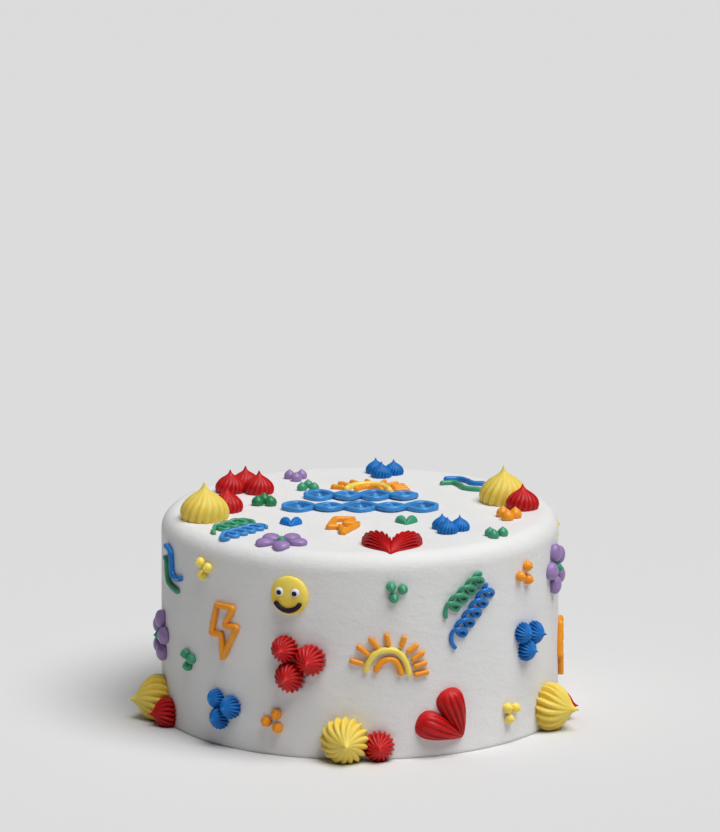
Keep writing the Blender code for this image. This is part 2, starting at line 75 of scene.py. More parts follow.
# Profiles from the icing up: share of the height, share of the radius
DOLLOP_PROFILE = (
    (0.0, 0.93), (0.06, 0.975), (0.12, 0.995), (0.20, 1.0), (0.29, 0.975), (0.37, 0.925),
    (0.45, 0.845), (0.52, 0.745), (0.58, 0.64), (0.64, 0.52), (0.70, 0.375), (0.76, 0.24),
    (0.82, 0.145), (0.88, 0.088), (0.94, 0.048), (0.985, 0.018),
)
DROP_PROFILE = (
    (0.0, 0.82), (0.06, 0.91), (0.15, 0.98), (0.26, 1.0), (0.38, 0.975), (0.50, 0.90),
    (0.61, 0.78), (0.71, 0.61), (0.79, 0.43), (0.86, 0.27), (0.92, 0.15), (0.975, 0.05),
)
DOME_PROFILE = (
    (0.0, 0.965), (0.10, 0.99), (0.24, 1.0), (0.40, 0.975), (0.55, 0.91), (0.68, 0.82),
    (0.79, 0.70), (0.88, 0.55), (0.945, 0.38), (0.985, 0.19),
)
PETAL_PROFILE = (
    (0.0, 0.86), (0.12, 0.95), (0.30, 1.0), (0.50, 0.97), (0.68, 0.86), (0.82, 0.68),
    (0.92, 0.45), (0.98, 0.22),
)
# How deep a dollop's ridges are, how pointed at the rim and how soft
RIDGE_KINDS = {
    "crisp": (0.25, 1.0, 0.010),
    "broad": (0.20, 0.95, 0.025),
    "soft": (0.115, 0.25, 0.10),
}
RIDGE_POINTS = 10               # points round one ridge
RIDGE_STRENGTHS = (0.82, 1.12)  # shallowest and deepest groove of a dollop
TOOTH_POWER = 0.85              # below 1, a tooth's flanks are hollow
TOOTH_HOLD = 1.15               # above 1, the teeth at the rim start to shrink further up
TOOTH_FADE = 0.42               # over what share of the height they shrink away
GROOVE_END = 0.86               # share of the height where the grooves have run out
GROOVE_FADE = 0.5               # over what share of the height they do
GROOVE_POWER = 0.8              # below 1, they stay deep for longer
LEAN_POWER = 1.7                # a leaning tip bends more than its foot
DOLLOP_UNEVEN = 0.012           # share of the radius
DOLLOP_WAVE = 1.1               # size of that unevenness, share of the radius

# Piped lines
TUBE_RADIUS = 1.42
STREAMER_TUBE_RADIUS = 1.45
COIL_TUBE_RADIUS = 1.12
BOLT_TUBE_RADIUS = 1.6
ARCH_TUBE_RADIUS = 1.58
MOUTH_TUBE_RADIUS = 1.25
BRAID_RADIUS = 1.5
LINE_STEP = 0.42        # between two rings of a line
LINE_SIDES = 16
LINE_RINGS = 16         # fewest rings of a line
LINE_RISE = 0.72        # how high the middle of a line lies, share of its radius
LINE_UNEVEN = 0.045     # how much its thickness changes, share of its radius
LINE_WAVE = 5.0         # size of that unevenness
LINE_SKIN = (2.4, 0.03)     # its surface's unevenness: size, depth as a share of its radius
END_THIN = 0.02         # how thin a rounded end gets, squared share of its radius
SPAN_STEPS = 24         # steps of a smooth path between two of its points
END_REACH = 0.1         # how far a line's last point lies past its last ring, share of its radius

# Unevenness: how many waves are added, and how much their lengths differ
WAVES = 7
WAVE_SPREAD = (0.6, 1.5)
# Sides of a plain topping: at least, and for each millimetre of radius
PLAIN_SIDES = 30
PLAIN_DENSITY = 7
# Rings of a topping from foot to tip, and the first seed of each kind
ROWS = {"dollop": 36, "red trio": 34, "blue trio": 26, "petal": 24, "middle": 20, "disc": 30,
        "eye": 18, "pupil": 14, "drop": 20, "bead": 16}
SEEDS = {"foot red": 20, "top yellow": 40, "top red": 50, "trio": 60, "heart": 100,
         "small heart": 120, "petal": 140, "middle": 160, "disc": 170, "eye": 171, "pupil": 172,
         "mouth": 173, "fused": 200}

# Colour of the icing: its shaded copy, which is painted shade, mottled in by noise and strongest in
# its grooves, its lit copy on its ridges (both linear), roughness
PAINTS = {
    "yellow": ((0.86, 0.52, 0.020), (0.82, 0.685, 0.150), 0.42),
    "bright_yellow": ((0.95, 0.56, 0.008), (0.93, 0.765, 0.150), 0.42),
    "bright_blue": ((0.010, 0.135, 0.46), (0.050, 0.290, 0.68), 0.36),
    "red": ((0.24, 0.001, 0.001), (0.64, 0.008, 0.010), 0.42),
    "blue": ((0.001, 0.045, 0.22), (0.008, 0.205, 0.64), 0.40),
    "green": ((0.012, 0.160, 0.062), (0.060, 0.360, 0.205), 0.40),
    "dark_green": ((0.005, 0.110, 0.030), (0.020, 0.240, 0.090), 0.40),
    "purple": ((0.14, 0.070, 0.23), (0.36, 0.235, 0.51), 0.42),
    "orange": ((0.82, 0.15, 0.001), (0.92, 0.365, 0.014), 0.44),
    "eye_white": ((0.74, 0.70, 0.86), (0.84, 0.82, 0.92), 0.44),
    "black": ((0.008, 0.003, 0.010), (0.014, 0.006, 0.018), 0.6),
}
GROOVE_SHADE = 0.75     # how much of the shaded colour the grooves get as painted shade
GLOSS = 0.09            # how much less rough the small toppings are
ROUGH_SPREAD = (-0.05, 0.09)    # how much the roughness changes over a topping
SPECULAR = {True: 0.45, False: 0.28}        # glossy or not
SUBSURFACE = {True: 0.3, False: 0.12}       # yellow or not
SUBSURFACE_RADIUS = (0.0011, 0.0009, 0.0005)
WHITE_SHADES = ((0.775, 0.770, 0.765, 1.0), (0.825, 0.822, 0.818, 1.0))
WHITE_SUBSURFACE_RADIUS = (0.002, 0.0018, 0.0015)

# Places on the side are azimuth in degrees from the front to the right and height, on
# the top x and y. Pairs at the foot: yellow, its tip's lean in the patch, red, its lean
BASE_PAIRS = (
    ((-79.0, 10.4), (0.0, 0.0), (-70.8, 6.6), (0.0, 0.0)),
    ((-4.2, 10.5), (2.0, 0.6), (5.3, 7.6), (-0.6, 0.4)),
    ((67.2, 11.4), (0.0, 0.0), (78.4, 7.4), (0.0, 0.0)),
    ((140.0, 11.0), (1.2, -0.4), (150.0, 7.4), (0.6, 0.5)),
    ((212.0, 10.8), (-1.0, 0.8), (221.4, 7.2), (0.5, 0.8)),
)
# Pairs on the top: name, yellow, red, red's radius
TOP_PAIRS = (
    ("left", (-77.7, -20.6), (-66.8, -3.6), 8.2),
    ("right", (72.3, 16.2), (81.6, 1.8), 8.4),
)
# Groups of three ridged dollops: place and radius of each
TRIOS = (
    ("red_trio_top", "red", "top", ((-65.7, 37.5, 7.7), (-58.1, 45.6, 7.7), (-51.1, 35.6, 7.7))),
    ("blue_trio_top_back", "blue", "top", ((8.0, 80.6, 5.2), (10.9, 71.2, 5.4), (17.2, 77.2, 5.2))),
    ("blue_trio_top_right", "blue", "top",
     ((40.8, -41.4, 5.1), (43.4, -50.6, 5.3), (49.5, -44.8, 5.1))),
    ("red_trio_front", "red", "side", ((-21.3, 54.9, 7.2), (-13.8, 50.4, 8.2), (-19.7, 41.0, 8.1))),
    ("blue_trio_left", "blue", "side",
     ((-44.8, 24.0, 5.0), (-39.1, 21.3, 6.0), (-43.3, 14.5, 5.8))),
    ("blue_trio_right", "blue", "side", ((52.9, 54.8, 5.4), (58.5, 52.9, 6.0), (54.6, 45.6, 5.8))),
    ("red_trio_back", "red", "side", ((128.9, 56.9, 7.2), (136.4, 52.4, 8.2), (130.5, 43.0, 8.1))),
    ("blue_trio_back", "blue", "side",
     ((215.0, 54.0, 5.0), (220.7, 51.4, 6.0), (216.6, 44.6, 5.8))),
)
# Groups of small round drops: side or top, colour, radius, places
DOTS = (
    ("top", "dark_green", 3.1, ((-51.5, 8.4), (-48.2, 13.8), (-44.9, 7.9))),
    ("top", "purple", 2.85, ((-35.9, 67.5), (-32.4, 61.8), (-29.8, 68.0))),
    ("top", "green", 2.6, ((-29.4, 41.0), (-26.3, 47.0), (-23.2, 40.6))),
    ("top", "orange", 3.3, ((71.4, -16.1), (73.7, -23.6), (77.6, -18.5))),
    ("top", "green", 2.7, ((64.3, -57.2), (66.2, -61.5), (70.7, -56.6))),
    ("side", "green", 2.6, ((8.7, 87.8), (12.0, 86.3), (9.5, 82.1))),
    ("side", "orange", 2.8, ((-24.1, 21.4), (-27.2, 17.1), (-23.7, 14.4))),
    ("side", "bright_yellow", 2.6, ((-51.4, 91.2), (-48.2, 89.5), (-50.6, 85.1))),
    ("side", "green", 2.6, ((-59.1, 41.8), (-56.0, 40.1), (-57.9, 35.9))),
    ("side", "orange", 2.7, ((55.3, 88.1), (52.0, 83.8), (55.7, 81.1))),
    ("side", "bright_yellow", 2.6, ((46.4, 18.6), (49.8, 17.5), (47.1, 12.7))),
    ("side", "bright_yellow", 2.6, ((103.5, 90.0), (106.7, 88.4), (104.2, 84.2))),
    ("side", "orange", 2.8, ((111.5, 27.0), (114.7, 25.2), (112.3, 20.6))),
    ("side", "green", 2.8, ((156.0, 47.0), (159.4, 45.4), (156.8, 40.6))),
    ("side", "orange", 2.6, ((170.0, 90.4), (173.4, 89.0), (170.8, 84.7))),
    ("side", "green", 2.8, ((249.0, 89.0), (252.4, 87.6), (249.8, 82.9))),
)
# Hearts: where the point is, the direction of the axis, whether the shells are fanned
HEARTS = (
    ("heart_front", "side", (30.2, 8.6), 133.5, False),
    ("heart_back", "side", (188.0, 8.6), 133.5, False),
    ("heart_top", "top", (14.9, -93.6), 87.5, True),
)
HEART_LOBE_RADIUS = 7.3
HEART_LOBE_LENGTH = 26.6
HEART_HALF_ANGLE = math.radians(23.5)
HEART_RIDGES = 13
SMALL_HEARTS = (("blue", (-34.4, -38.0)), ("green", (23.1, -34.6)))
SMALL_LOBE_RADIUS = 2.85
SMALL_LOBE_LENGTH = 9.6
SMALL_LOBE_HEIGHT = 3.5
SMALL_HEART_AXIS = 90.0
# One half of a heart: share of the length, of the radius and of the height
LOBE_PROFILE = (
    (0.0, 0.06, 0.10), (0.04, 0.17, 0.26), (0.10, 0.27, 0.42), (0.20, 0.42, 0.62),
    (0.34, 0.62, 0.80), (0.50, 0.82, 0.94), (0.66, 0.96, 1.0), (0.80, 0.99, 0.95),
    (0.90, 0.85, 0.78), (0.96, 0.60, 0.55), (0.99, 0.34, 0.32), (1.0, 0.06, 0.06),
)
LOBE_STRETCH = 3.0      # makes the rings closer where the lobe is steep
LOBE_ROWS = 46
LOBE_SIDES = 176
LOBE_STRENGTHS = (0.45, 1.2)    # shallowest and deepest groove
LOBE_SOFTNESS = 0.05
LOBE_GROOVE = 0.16              # depth of a groove, share of the height
LOBE_SIDE_GROOVE = 0.05         # and at its sides, share of the width
LOBE_FADES = (0.2, 0.22)        # share of the length where the grooves run out, at each end
LOBE_UNEVEN = 0.015             # share of the radius
LOBE_ENDS = (-0.1, 0.02)        # its end points along y, from its tail and from its head
# Flowers: place of the middle, direction of the first petal
FLOWERS = (
    ("flower_left", "side", (-80.2, 42.7), 10.0),
    ("flower_right", "side", (75.9, 79.2), 36.0),
    ("flower_top", "top", (-38.7, -73.3), 54.0),
)
PETALS = 5
PETAL_RADIUS = 4.65
PETAL_SIZE = (1.02, 0.95, 1.0)
PETAL_REACH = 8.6
# Height of the petals, radius and height of the middle
FLOWER_HEIGHTS = {"top": (3.4, 2.3, 4.1), "side": (4.7, 2.8, 5.4)}
FACE_SPOT = (-20.2, 82.2)
FACE_RADIUS = 9.8
FACE_HEIGHT = 3.4
# Its painted shade, darker towards the lower left: at the middle, growth downwards, growth to the
# left as a share of that
FACE_SHADE = (0.30, 0.55, 0.6)
EYES = ((-4.4, 1.95), (3.75, 1.9))
EYE_RADIUS = 2.2
EYE_HEIGHT = 1.5
EYE_LIFT = -0.45                    # from the face's dome
PUPIL_RADIUS = 1.28
PUPIL_HEIGHT = 0.8
PUPIL_SHIFT = (-0.05, -0.15, 0.65)  # from the eye's place on the dome
MOUTH_RADIUS = 7.2
MOUTH_SWEEP = (203.0, 337.0)
MOUTH_STEPS = 14
MOUTH_LIFT = -0.35
# Sun shapes: two arches, then rays from their outer to their inner end
SUNS = (("side", (7.9, 44.0)), ("top", (4.4, 37.4)))
SUN_ARCHES = (
    ("bright_yellow", ((-11.5, 0.7), (-9.9, 5.5), (-6.9, 9.8), (-4.0, 11.4), (0.3, 12.0),
                       (4.1, 10.95), (7.0, 8.4), (8.9, 4.9), (10.1, 1.0), (10.7, -2.0))),
    ("orange", ((-6.7, 0.5), (-5.2, 3.5), (-2.8, 6.1), (0.3, 7.2), (3.1, 6.4), (4.9, 4.1),
                (6.0, 1.2), (6.4, -1.5))),
)
SUN_RAYS = (
    ((-17.9, 6.6), (-13.4, 5.4)), ((-14.4, 13.4), (-10.4, 10.1)), ((-8.5, 17.3), (-5.8, 13.8)),
    ((-0.9, 19.1), (0.1, 15.0)), ((8.0, 17.5), (6.8, 14.1)), ((14.1, 13.2), (10.4, 10.7)),
    ((17.3, 9.4), (12.8, 6.7)), ((18.6, 4.2), (13.7, 3.0)), ((19.6, -0.4), (14.1, -1.3)),
)
# Lightning bolts: the corners of their outline, then place, width and height scale
BOLT = (
    (-3.5, 13.0), (7.3, 13.0), (1.9, 3.5), (9.6, 3.5), (0.8, -13.0), (-0.4, -1.5), (-7.2, -2.0),
)
BOLT_CORNER = 1.1       # how far from a corner its rounding starts
BOLTS = (
    ("side", (-42.6, 58.7), 1.0, 1.0),
    ("side", (87.4, 32.9), 1.0, 1.04),
    ("side", (235.0, 62.0), 1.0, 1.0),
    ("top", (-9.4, -41.5), 0.86, 1.1),
)
# Wavy streamers: colour, side or top, middle, points
STREAMERS = (
    ("blue", "side", (-70.0, 84.0),
     ((-8.0, 7.2), (-2.3, 6.7), (1.2, 5.3), (2.1, 1.3), (2.6, -3.1), (4.9, -5.8), (8.7, -6.3),
      (14.5, -4.9))),
    ("green", "side", (-70.0, 84.0),
     ((-10.1, 0.4), (-6.4, 0.7), (-5.2, -2.6), (-4.5, -7.1), (-2.4, -10.0), (2.3, -11.7),
      (10.8, -12.7))),
    ("blue", "side", (112.0, 66.0),
     ((-9.0, 13.0), (-3.0, 12.0), (-0.5, 6.0), (0.5, 0.0), (5.0, -4.5), (12.0, -4.0))),
    ("green", "side", (112.0, 58.0),
     ((-13.0, 12.0), (-7.5, 10.5), (-5.5, 4.0), (-4.0, -2.5), (0.5, -6.0), (8.5, -6.0))),
    ("blue", "top", (52.0, 56.0),
     ((-9.5, 5.5), (-1.5, 5.8), (2.5, 1.5), (5.5, -4.0), (12.0, -5.0))),
    ("green", "top", (52.0, 46.0),
     ((-11.5, 6.0), (-4.5, 7.5), (-1.5, 2.5), (1.5, -5.0), (7.5, -7.5), (12.0, -7.3))),
)
# Coils: colour, place, tail, where the first loop starts, step from loop to loop, number
# of loops, end
COILS = (
    ("green", "side", (24.8, 69.0), ((0.1, 0.5), (-0.3, 3.9), (0.5, 6.9)),
     (-2.1, 5.5), (4.6, 3.65), 4, ((17.7, 21.3), (21.0, 20.7))),
    ("blue", "side", (28.2, 53.8), ((-0.2, -0.1), (-2.3, 2.5), (-2.95, 5.9), (-2.2, 8.7)),
     (-4.1, 7.1), (4.1, 4.4), 5, ((17.0, 29.3), (18.2, 31.0))),
    ("green", "top", (-71.9, -56.1), ((0.0, 0.0), (-1.1, 4.0), (-0.5, 8.6)),
     (-2.7, 8.8), (4.4, 5.85), 3, ((13.6, 28.0), (17.6, 25.6), (19.4, 22.0))),
    ("bright_blue", "top", (-64.8, -72.5), ((0.8, 6.4), (-1.6, 6.4), (-3.6, 8.2), (-3.6, 11.2)),
     (-5.0, 10.9), (4.0, 5.1), 4, ((14.0, 33.6), (17.2, 32.0), (18.6, 28.6))),
)
# One loop of a coil: right, up and how high the line lies
COIL_LOOP = (
    (0.9, 1.9, 0.7), (2.8, 3.05, 2.0), (5.7, 3.1, 2.1), (8.3, 2.1, 1.2), (9.5, 0.55, 0.4),
    (8.4, -0.85, 0.0), (6.3, -0.5, 0.0), (4.9, 1.0, 0.0), (4.5, 2.6, 0.0),
)
COIL_LIFTS = {"top": 0.55, "side": 1.0}     # share of the loops' heights
COIL_END_LIFT = 0.2
# The fan of a heart's shell: degrees from its axis, reach
FAN_REACH = (
    (0.0, 17.5), (5.0, 22.5), (10.0, 25.6), (17.0, 27.9), (25.0, 28.5), (32.0, 27.5),
    (38.0, 25.3), (43.0, 22.3), (47.0, 19.2),
)
# Share of its reach, share of its height
FAN_ALONG = (
    (0.0, 0.06), (0.1, 0.33), (0.3, 0.72), (0.5, 0.94), (0.65, 1.0), (0.8, 0.97), (0.9, 0.86),
    (0.96, 0.66), (0.99, 0.40), (1.0, 0.05),
)
FAN_START = -0.95       # where round its section it starts, radians from the top
FAN_RIDGES = 10
FAN_ROWS = 44
FAN_RIDGE_POINTS = 14
FAN_STRENGTHS = (0.8, 1.15)
FAN_HEIGHT = 7.0
FAN_GROOVE = 0.26       # depth of a groove, share of the height
FAN_TOOTH = 0.15        # how far a ridge's tooth stands out, share of the reach
FAN_SIZE = (0.92, 0.96, 0.95)
FAN_RIB_POWER = 0.8     # below 1, the ridges are broad and the grooves narrow
FAN_ROW_POWER = 0.95    # below 1, its rows lie closer to the rim
# From which share of the reach, and over what share, the grooves and teeth grow
FAN_GROOVE_GROWTH = (0.08, 0.4)
FAN_TOOTH_GROWTH = (0.45, 0.5)
FAN_TOOTH_LEVEL = 0.6   # share of a ridge's height where its tooth starts
FAN_SIDE_GROOVE = 0.11  # depth of a groove on the shell's outer side, share of its angle
FAN_BOW = 0.10          # how much wider its middle spreads
FAN_WAVES = (6.0, 0.10)     # unevenness: size, depth
# Rows of braid: where it starts, length, loops
BRAIDS = (((-28.0, 24.0), 57.0, 4), ((-39.0, -1.0), 78.0, 5))
BRAID_HALF_WIDTH = 6.4
BRAID_LIFT = 0.3
BRAID_CROSSING = 0.35   # how far one line passes over the other
BRAID_STEPS = 8         # points of a line in one loop
BEAD_RADIUS = 2.2

# Lights: azimuth, elevation and spread in degrees, strength
LIGHTS = (("key", 50.0, 67.0, 46.0, 3.24), ("fill", -150.0, 50.0, 60.0, 0.28))
WORLD_STRENGTH = 0.02
FLOOR_REACH = 9.0       # metres
FLOOR_COLOUR = (0.70, 0.70, 0.70, 1.0)
# Camera: metres from a point on the cake's axis, how high that point is, and angles
CAMERA_DISTANCE = 4.0
CAMERA_AIM = 0.0517
CAMERA_ELEVATION = math.radians(14.089)
CAMERA_PITCH = math.radians(12.698)     # how far the camera looks down
CAMERA_LENS = 343.7
CAMERA_SENSOR = 36.0
CAMERA_END = 50.0


def wall_radius(height):
    """The icing's radius at heights, millimetres."""
    above = np.clip(height - (CAKE_HEIGHT - TOP_EDGE_RADIUS), 0.0, TOP_EDGE_RADIUS)
    straight = CAKE_RADIUS - WALL_LEAN * height / CAKE_HEIGHT
    return straight - TOP_EDGE_RADIUS + np.sqrt(TOP_EDGE_RADIUS ** 2 - above ** 2)


def top_height(radius):
    """The icing's height at distances from the axis, millimetres."""
    beyond = np.clip(radius - (CAKE_RADIUS - WALL_LEAN - TOP_EDGE_RADIUS), 0.0, TOP_EDGE_RADIUS)
    return CAKE_HEIGHT - TOP_EDGE_RADIUS + np.sqrt(TOP_EDGE_RADIUS ** 2 - beyond ** 2)


def on_side(azimuth, height):
    """Lays a patch's points on the wall."""
    def place(points):
        reach = wall_radius(height + points[:, 1]) + points[:, 2]
        angle = math.radians(azimuth) + points[:, 0] / reach
        x, y = reach * np.sin(angle), -reach * np.cos(angle)
        return np.stack([x, y, height + points[:, 1]], 1) * MM
    return place


def on_top(x0, y0):
    """Lays a patch's points on the top."""
    def place(points):
        x = points[:, 0] + x0
        y = points[:, 1] + y0
        return np.stack([x, y, top_height(np.hypot(x, y)) + points[:, 2]], 1) * MM
    return place


def placer(where, spot):
    return on_side(*spot) if where == "side" else on_top(*spot)


def smooth_path(points, count, closed=False):
    """A smooth line through points, in count even steps."""
    knots = np.array(points, float)
    if closed:
        knots = np.vstack([knots[-1], knots, knots[:2]])
    else:
        knots = np.vstack([2 * knots[0] - knots[1], knots, 2 * knots[-1] - knots[-2]])
    fine = []
    for p0, p1, p2, p3 in zip(knots, knots[1:], knots[2:], knots[3:]):
        t = np.linspace(0.0, 1.0, SPAN_STEPS, endpoint=False)[:, None]
        fine.append(0.5 * (2 * p1 + (p2 - p0) * t + (2 * p0 - 5 * p1 + 4 * p2 - p3) * t ** 2
                           + (3 * p1 - p0 - 3 * p2 + p3) * t ** 3))
    fine = np.vstack(fine + [knots[-2][None]])
    length = np.concatenate([[0.0], np.cumsum(np.linalg.norm(np.diff(fine, axis=0), axis=1))])
    even = np.linspace(0.0, length[-1], count)
    return np.stack([np.interp(even, length, fine[:, k]) for k in range(fine.shape[1])], 1)


def wobble(points, size, seed):
    """A smooth uneven number from -1 to 1 at each point, about size apart."""
    random = np.random.default_rng(seed)
    total = np.zeros(len(points))
    for _ in range(WAVES):
        direction = random.normal(size=3)
        direction /= np.linalg.norm(direction)
        step = random.uniform(*WAVE_SPREAD) * math.tau / size
        total += np.sin(points @ direction * step + random.uniform(0.0, math.tau))
    return total / (WAVES / 2)


def rings_to_shape(rings, start, end):
    """A closed shape from rings of points and a point at each end."""
    rows, columns, _ = rings.shape
    points = np.vstack([rings.reshape(-1, 3), start, end])
    row = np.arange(rows - 1)[:, None] * columns
    column = np.arange(columns)[None, :]
    after = (column + 1) % columns
    quads = np.stack([row + column, row + after, row + columns + after, row + columns + column], -1)
    first, last = rows * columns, rows * columns + 1
    faces = quads.reshape(-1, 4).tolist()
    ring = range(columns)
    faces += [[first, (k + 1) % columns, k] for k in ring]
    base = (rows - 1) * columns
    faces += [[last, base + k, base + (k + 1) % columns] for k in ring]
    return points, faces


def piped(radius, height, profile, seed, rows, ridges=0, lean=(0.0, 0.0), kind="crisp"):
    """A dollop, drop or disc that stands on the icing, with the depth of its grooves, which sets
    their painted shade.
    """
    random = np.random.default_rng(seed)
    outline = smooth_path(profile, rows)
    rise = outline[:, 0][:, None]
    share = outline[:, 1][:, None]
    columns = ridges * RIDGE_POINTS if ridges else max(PLAIN_SIDES, int(radius * PLAIN_DENSITY))
    depth, teeth, softness = RIDGE_KINDS[kind]
    around = np.arange(columns)[None, :] / columns
    if ridges:
        number = np.floor(around * ridges + 0.5).astype(int) % ridges
        off = around * ridges + 0.5 - np.floor(around * ridges + 0.5) - 0.5
        strength = random.uniform(*RIDGE_STRENGTHS, ridges)[number]
        rounded = np.sqrt(np.cos(math.pi * off) ** 2 + softness)
        pointed = 1.0 - np.abs(2 * off) ** TOOTH_POWER
        tooth = teeth * np.clip(TOOTH_HOLD - rise / TOOTH_FADE, 0.0, 1.0)
        rib = rounded * (1 - tooth) + pointed * tooth
        fade = np.clip((GROOVE_END - rise) / GROOVE_FADE, 0.0, 1.0) ** GROOVE_POWER
        groove = np.clip(1.0 - rib, 0.0, 1.0) * strength * fade
    else:
        groove = np.zeros((rows, columns))
    reach = radius * share * (1.0 - depth * groove)
    angle = around * math.tau + (TWIST if ridges else 0.0) * rise
    bend = rise ** LEAN_POWER
    x = reach * np.cos(angle) + lean[0] * bend
    y = reach * np.sin(angle) + lean[1] * bend
    z = np.broadcast_to(height * rise, x.shape)
    rings = np.stack([x, y, z], -1)
    waves = wobble(rings.reshape(-1, 3), radius * DOLLOP_WAVE, seed).reshape(x.shape)
    uneven = DOLLOP_UNEVEN * radius * waves
    rings[..., 0] += uneven * np.cos(angle)
    rings[..., 1] += uneven * np.sin(angle)
    base = np.array([[0.0, 0.0, -SINK]])
    tip = np.array([[lean[0], lean[1], height]])
    points, faces = rings_to_shape(rings, base, tip)
    # painted shade: the grooves' depth sets how much shaded colour they get
    shade = np.concatenate([(groove * np.ones_like(x)).ravel(), [0.0, 0.0]])
    return points, faces, shade


def line(points, radius, seed, closed=False, lift=0.0):
    """A round piped line through points in the patch, with rounded ends or closed."""
    knots = np.array([(*p, 0.0) if len(p) == 2 else p for p in points], float)
    rough = np.linalg.norm(np.diff(knots, axis=0), axis=1).sum()
    path = smooth_path(knots, max(LINE_RINGS, int(rough / LINE_STEP)), closed)
    path[:, 2] += LINE_RISE * radius + lift
    run = np.gradient(path, axis=0)
    if closed:
        path = path[:-1]
        run = np.roll(path, -1, axis=0) - np.roll(path, 1, axis=0)
    run /= np.linalg.norm(run, axis=1)[:, None]
    up = np.array([0.0, 0.0, 1.0])
    across = np.cross(run, up)
    across /= np.linalg.norm(across, axis=1)[:, None]
    out = np.cross(across, run)
    size = radius * (1.0 + LINE_UNEVEN * wobble(path, LINE_WAVE, seed))
    along = np.concatenate([[0.0], np.cumsum(np.linalg.norm(np.diff(path, axis=0), axis=1))])
    if not closed:
        for away in (along, along[-1] - along):
            inside = np.clip(1.0 - away / radius, 0.0, 1.0)
            size = size * np.sqrt(np.clip(1.0 - inside ** 2, END_THIN, 1.0))
    angle = np.arange(LINE_SIDES) * math.tau / LINE_SIDES
    sideways = np.cos(angle)[None, :, None] * across[:, None, :]
    outward = np.sin(angle)[None, :, None] * out[:, None, :]
    rings = path[:, None, :] + size[:, None, None] * (sideways + outward)
    wave, depth = LINE_SKIN
    waves = wobble(rings.reshape(-1, 3), wave, seed + 5).reshape(rings.shape[:2])
    rings[..., 2] += depth * radius * waves
    if closed:
        rows = len(rings)
        points = rings.reshape(-1, 3)
        row = np.arange(rows)[:, None]
        column = np.arange(LINE_SIDES)[None, :]
        after, below = (column + 1) % LINE_SIDES, (row + 1) % rows
        quads = np.stack([row * LINE_SIDES + column, row * LINE_SIDES + after,
                          below * LINE_SIDES + after, below * LINE_SIDES + column], -1)
        return points, quads.reshape(-1, 4).tolist(), np.zeros(len(points))
    points, faces = rings_to_shape(rings, path[:1] - run[:1] * END_REACH * radius,
                                   path[-1:] + run[-1:] * END_REACH * radius)
    return points, faces, np.zeros(len(points))


def extended(start, end, more):
    """A short straight line made longer at both ends."""
    start, end = np.array(start), np.array(end)
    run = (end - start) / np.linalg.norm(end - start)
    return [tuple(start - run * more), tuple((start + end) / 2), tuple(end + run * more)]


def arc(radius, sweep, steps):
    """Points of an arc about the patch's middle."""
    angles = np.radians(np.linspace(sweep[0], sweep[1], steps))
    return [(radius * math.cos(a), radius * math.sin(a)) for a in angles]


def coil(tail, start, step, loops, end, share):
    """Points of a curly line: a tail, overlapping loops and an end."""
    points = [(*p, 0.0) for p in tail]
    for loop in range(loops):
        x0, y0 = start[0] + step[0] * loop, start[1] + step[1] * loop
        if loop:
            points.append((x0, y0, 0.0))
        for x, y, lift in COIL_LOOP[1 if loop == 0 else 0:]:
            points.append((x0 + x, y0 + y, lift * share))
    points.append((start[0] + step[0] * loops, start[1] + step[1] * loops, 0.0))
    points += [(*p, COIL_END_LIFT) for p in end]
    return points


def fan(mirror, seed):
    """A shell fanned out by the nozzle, its ridges ending in teeth at the rim."""
    random = np.random.default_rng(seed)
    rows, columns = FAN_ROWS, FAN_RIDGES * FAN_RIDGE_POINTS
    along = np.sin(np.linspace(0.02, math.pi / 2, rows))[:, None] ** FAN_ROW_POWER
    share = np.linspace(0.0, 1.0, columns)[None, :]
    turn = FAN_START + (math.pi / 2 - FAN_START) * share
    across = (np.sin(turn) - math.sin(FAN_START)) / (1.0 - math.sin(FAN_START))
    angles = np.radians([row[0] for row in FAN_REACH])
    reach = np.interp(across * angles[-1], angles, [row[1] for row in FAN_REACH])
    number = np.clip((share * FAN_RIDGES).astype(int), 0, FAN_RIDGES - 1)
    rib = np.abs(np.sin(math.pi * share * FAN_RIDGES)) ** FAN_RIB_POWER
    strength = random.uniform(*FAN_STRENGTHS, FAN_RIDGES)[number]
    first, width = FAN_GROOVE_GROWTH
    groove = (1.0 - rib) * strength * np.clip((along - first) / width, 0.0, 1.0)
    first, width = FAN_TOOTH_GROWTH
    teeth = np.clip((along - first) / width, 0.0, 1.0) * (rib - FAN_TOOTH_LEVEL) * FAN_TOOTH
    out = reach * along * (1.0 + teeth)
    side = np.clip(np.sin(turn), 0.0, 1.0)
    angle = across * angles[-1] * (1.0 - FAN_SIDE_GROOVE * groove * side)
    bow = angle * (1.0 + FAN_BOW * np.sin(math.pi * along))
    rise = np.interp(along, *zip(*FAN_ALONG)) * np.maximum(np.cos(turn), 0.0)
    height = FAN_HEIGHT * rise * (1.0 - FAN_GROOVE * groove)
    x = mirror * out * np.sin(bow)
    y = out * np.cos(bow)
    top = np.stack([x, y, height], -1)
    base = np.stack([x, y, np.full_like(x, -SINK)], -1)
    wave, depth = FAN_WAVES
    top[..., 2] += depth * wobble(top.reshape(-1, 3), wave, seed).reshape(x.shape)
    points = np.vstack([top.reshape(-1, 3), base.reshape(-1, 3)])
    below = rows * columns
    faces = []
    for i in range(rows - 1):
        for j in range(columns - 1):
            a = i * columns + j
            quad = [a, a + 1, a + columns + 1, a + columns]
            faces += [quad, [below + k for k in reversed(quad)]]
    rim = list(range(columns)) + [i * columns + columns - 1 for i in range(1, rows)]
    rim += [(rows - 1) * columns + j for j in range(columns - 2, -1, -1)]
    rim += [i * columns for i in range(rows - 2, 0, -1)]
    for a, b in zip(rim, rim[1:] + rim[:1]):
        faces.append([b, a, below + a, below + b])
    # painted shade: the grooves' depth sets how much shaded colour they get
    shade = np.concatenate([groove.ravel(), np.zeros(below)])
    return points, faces, shade


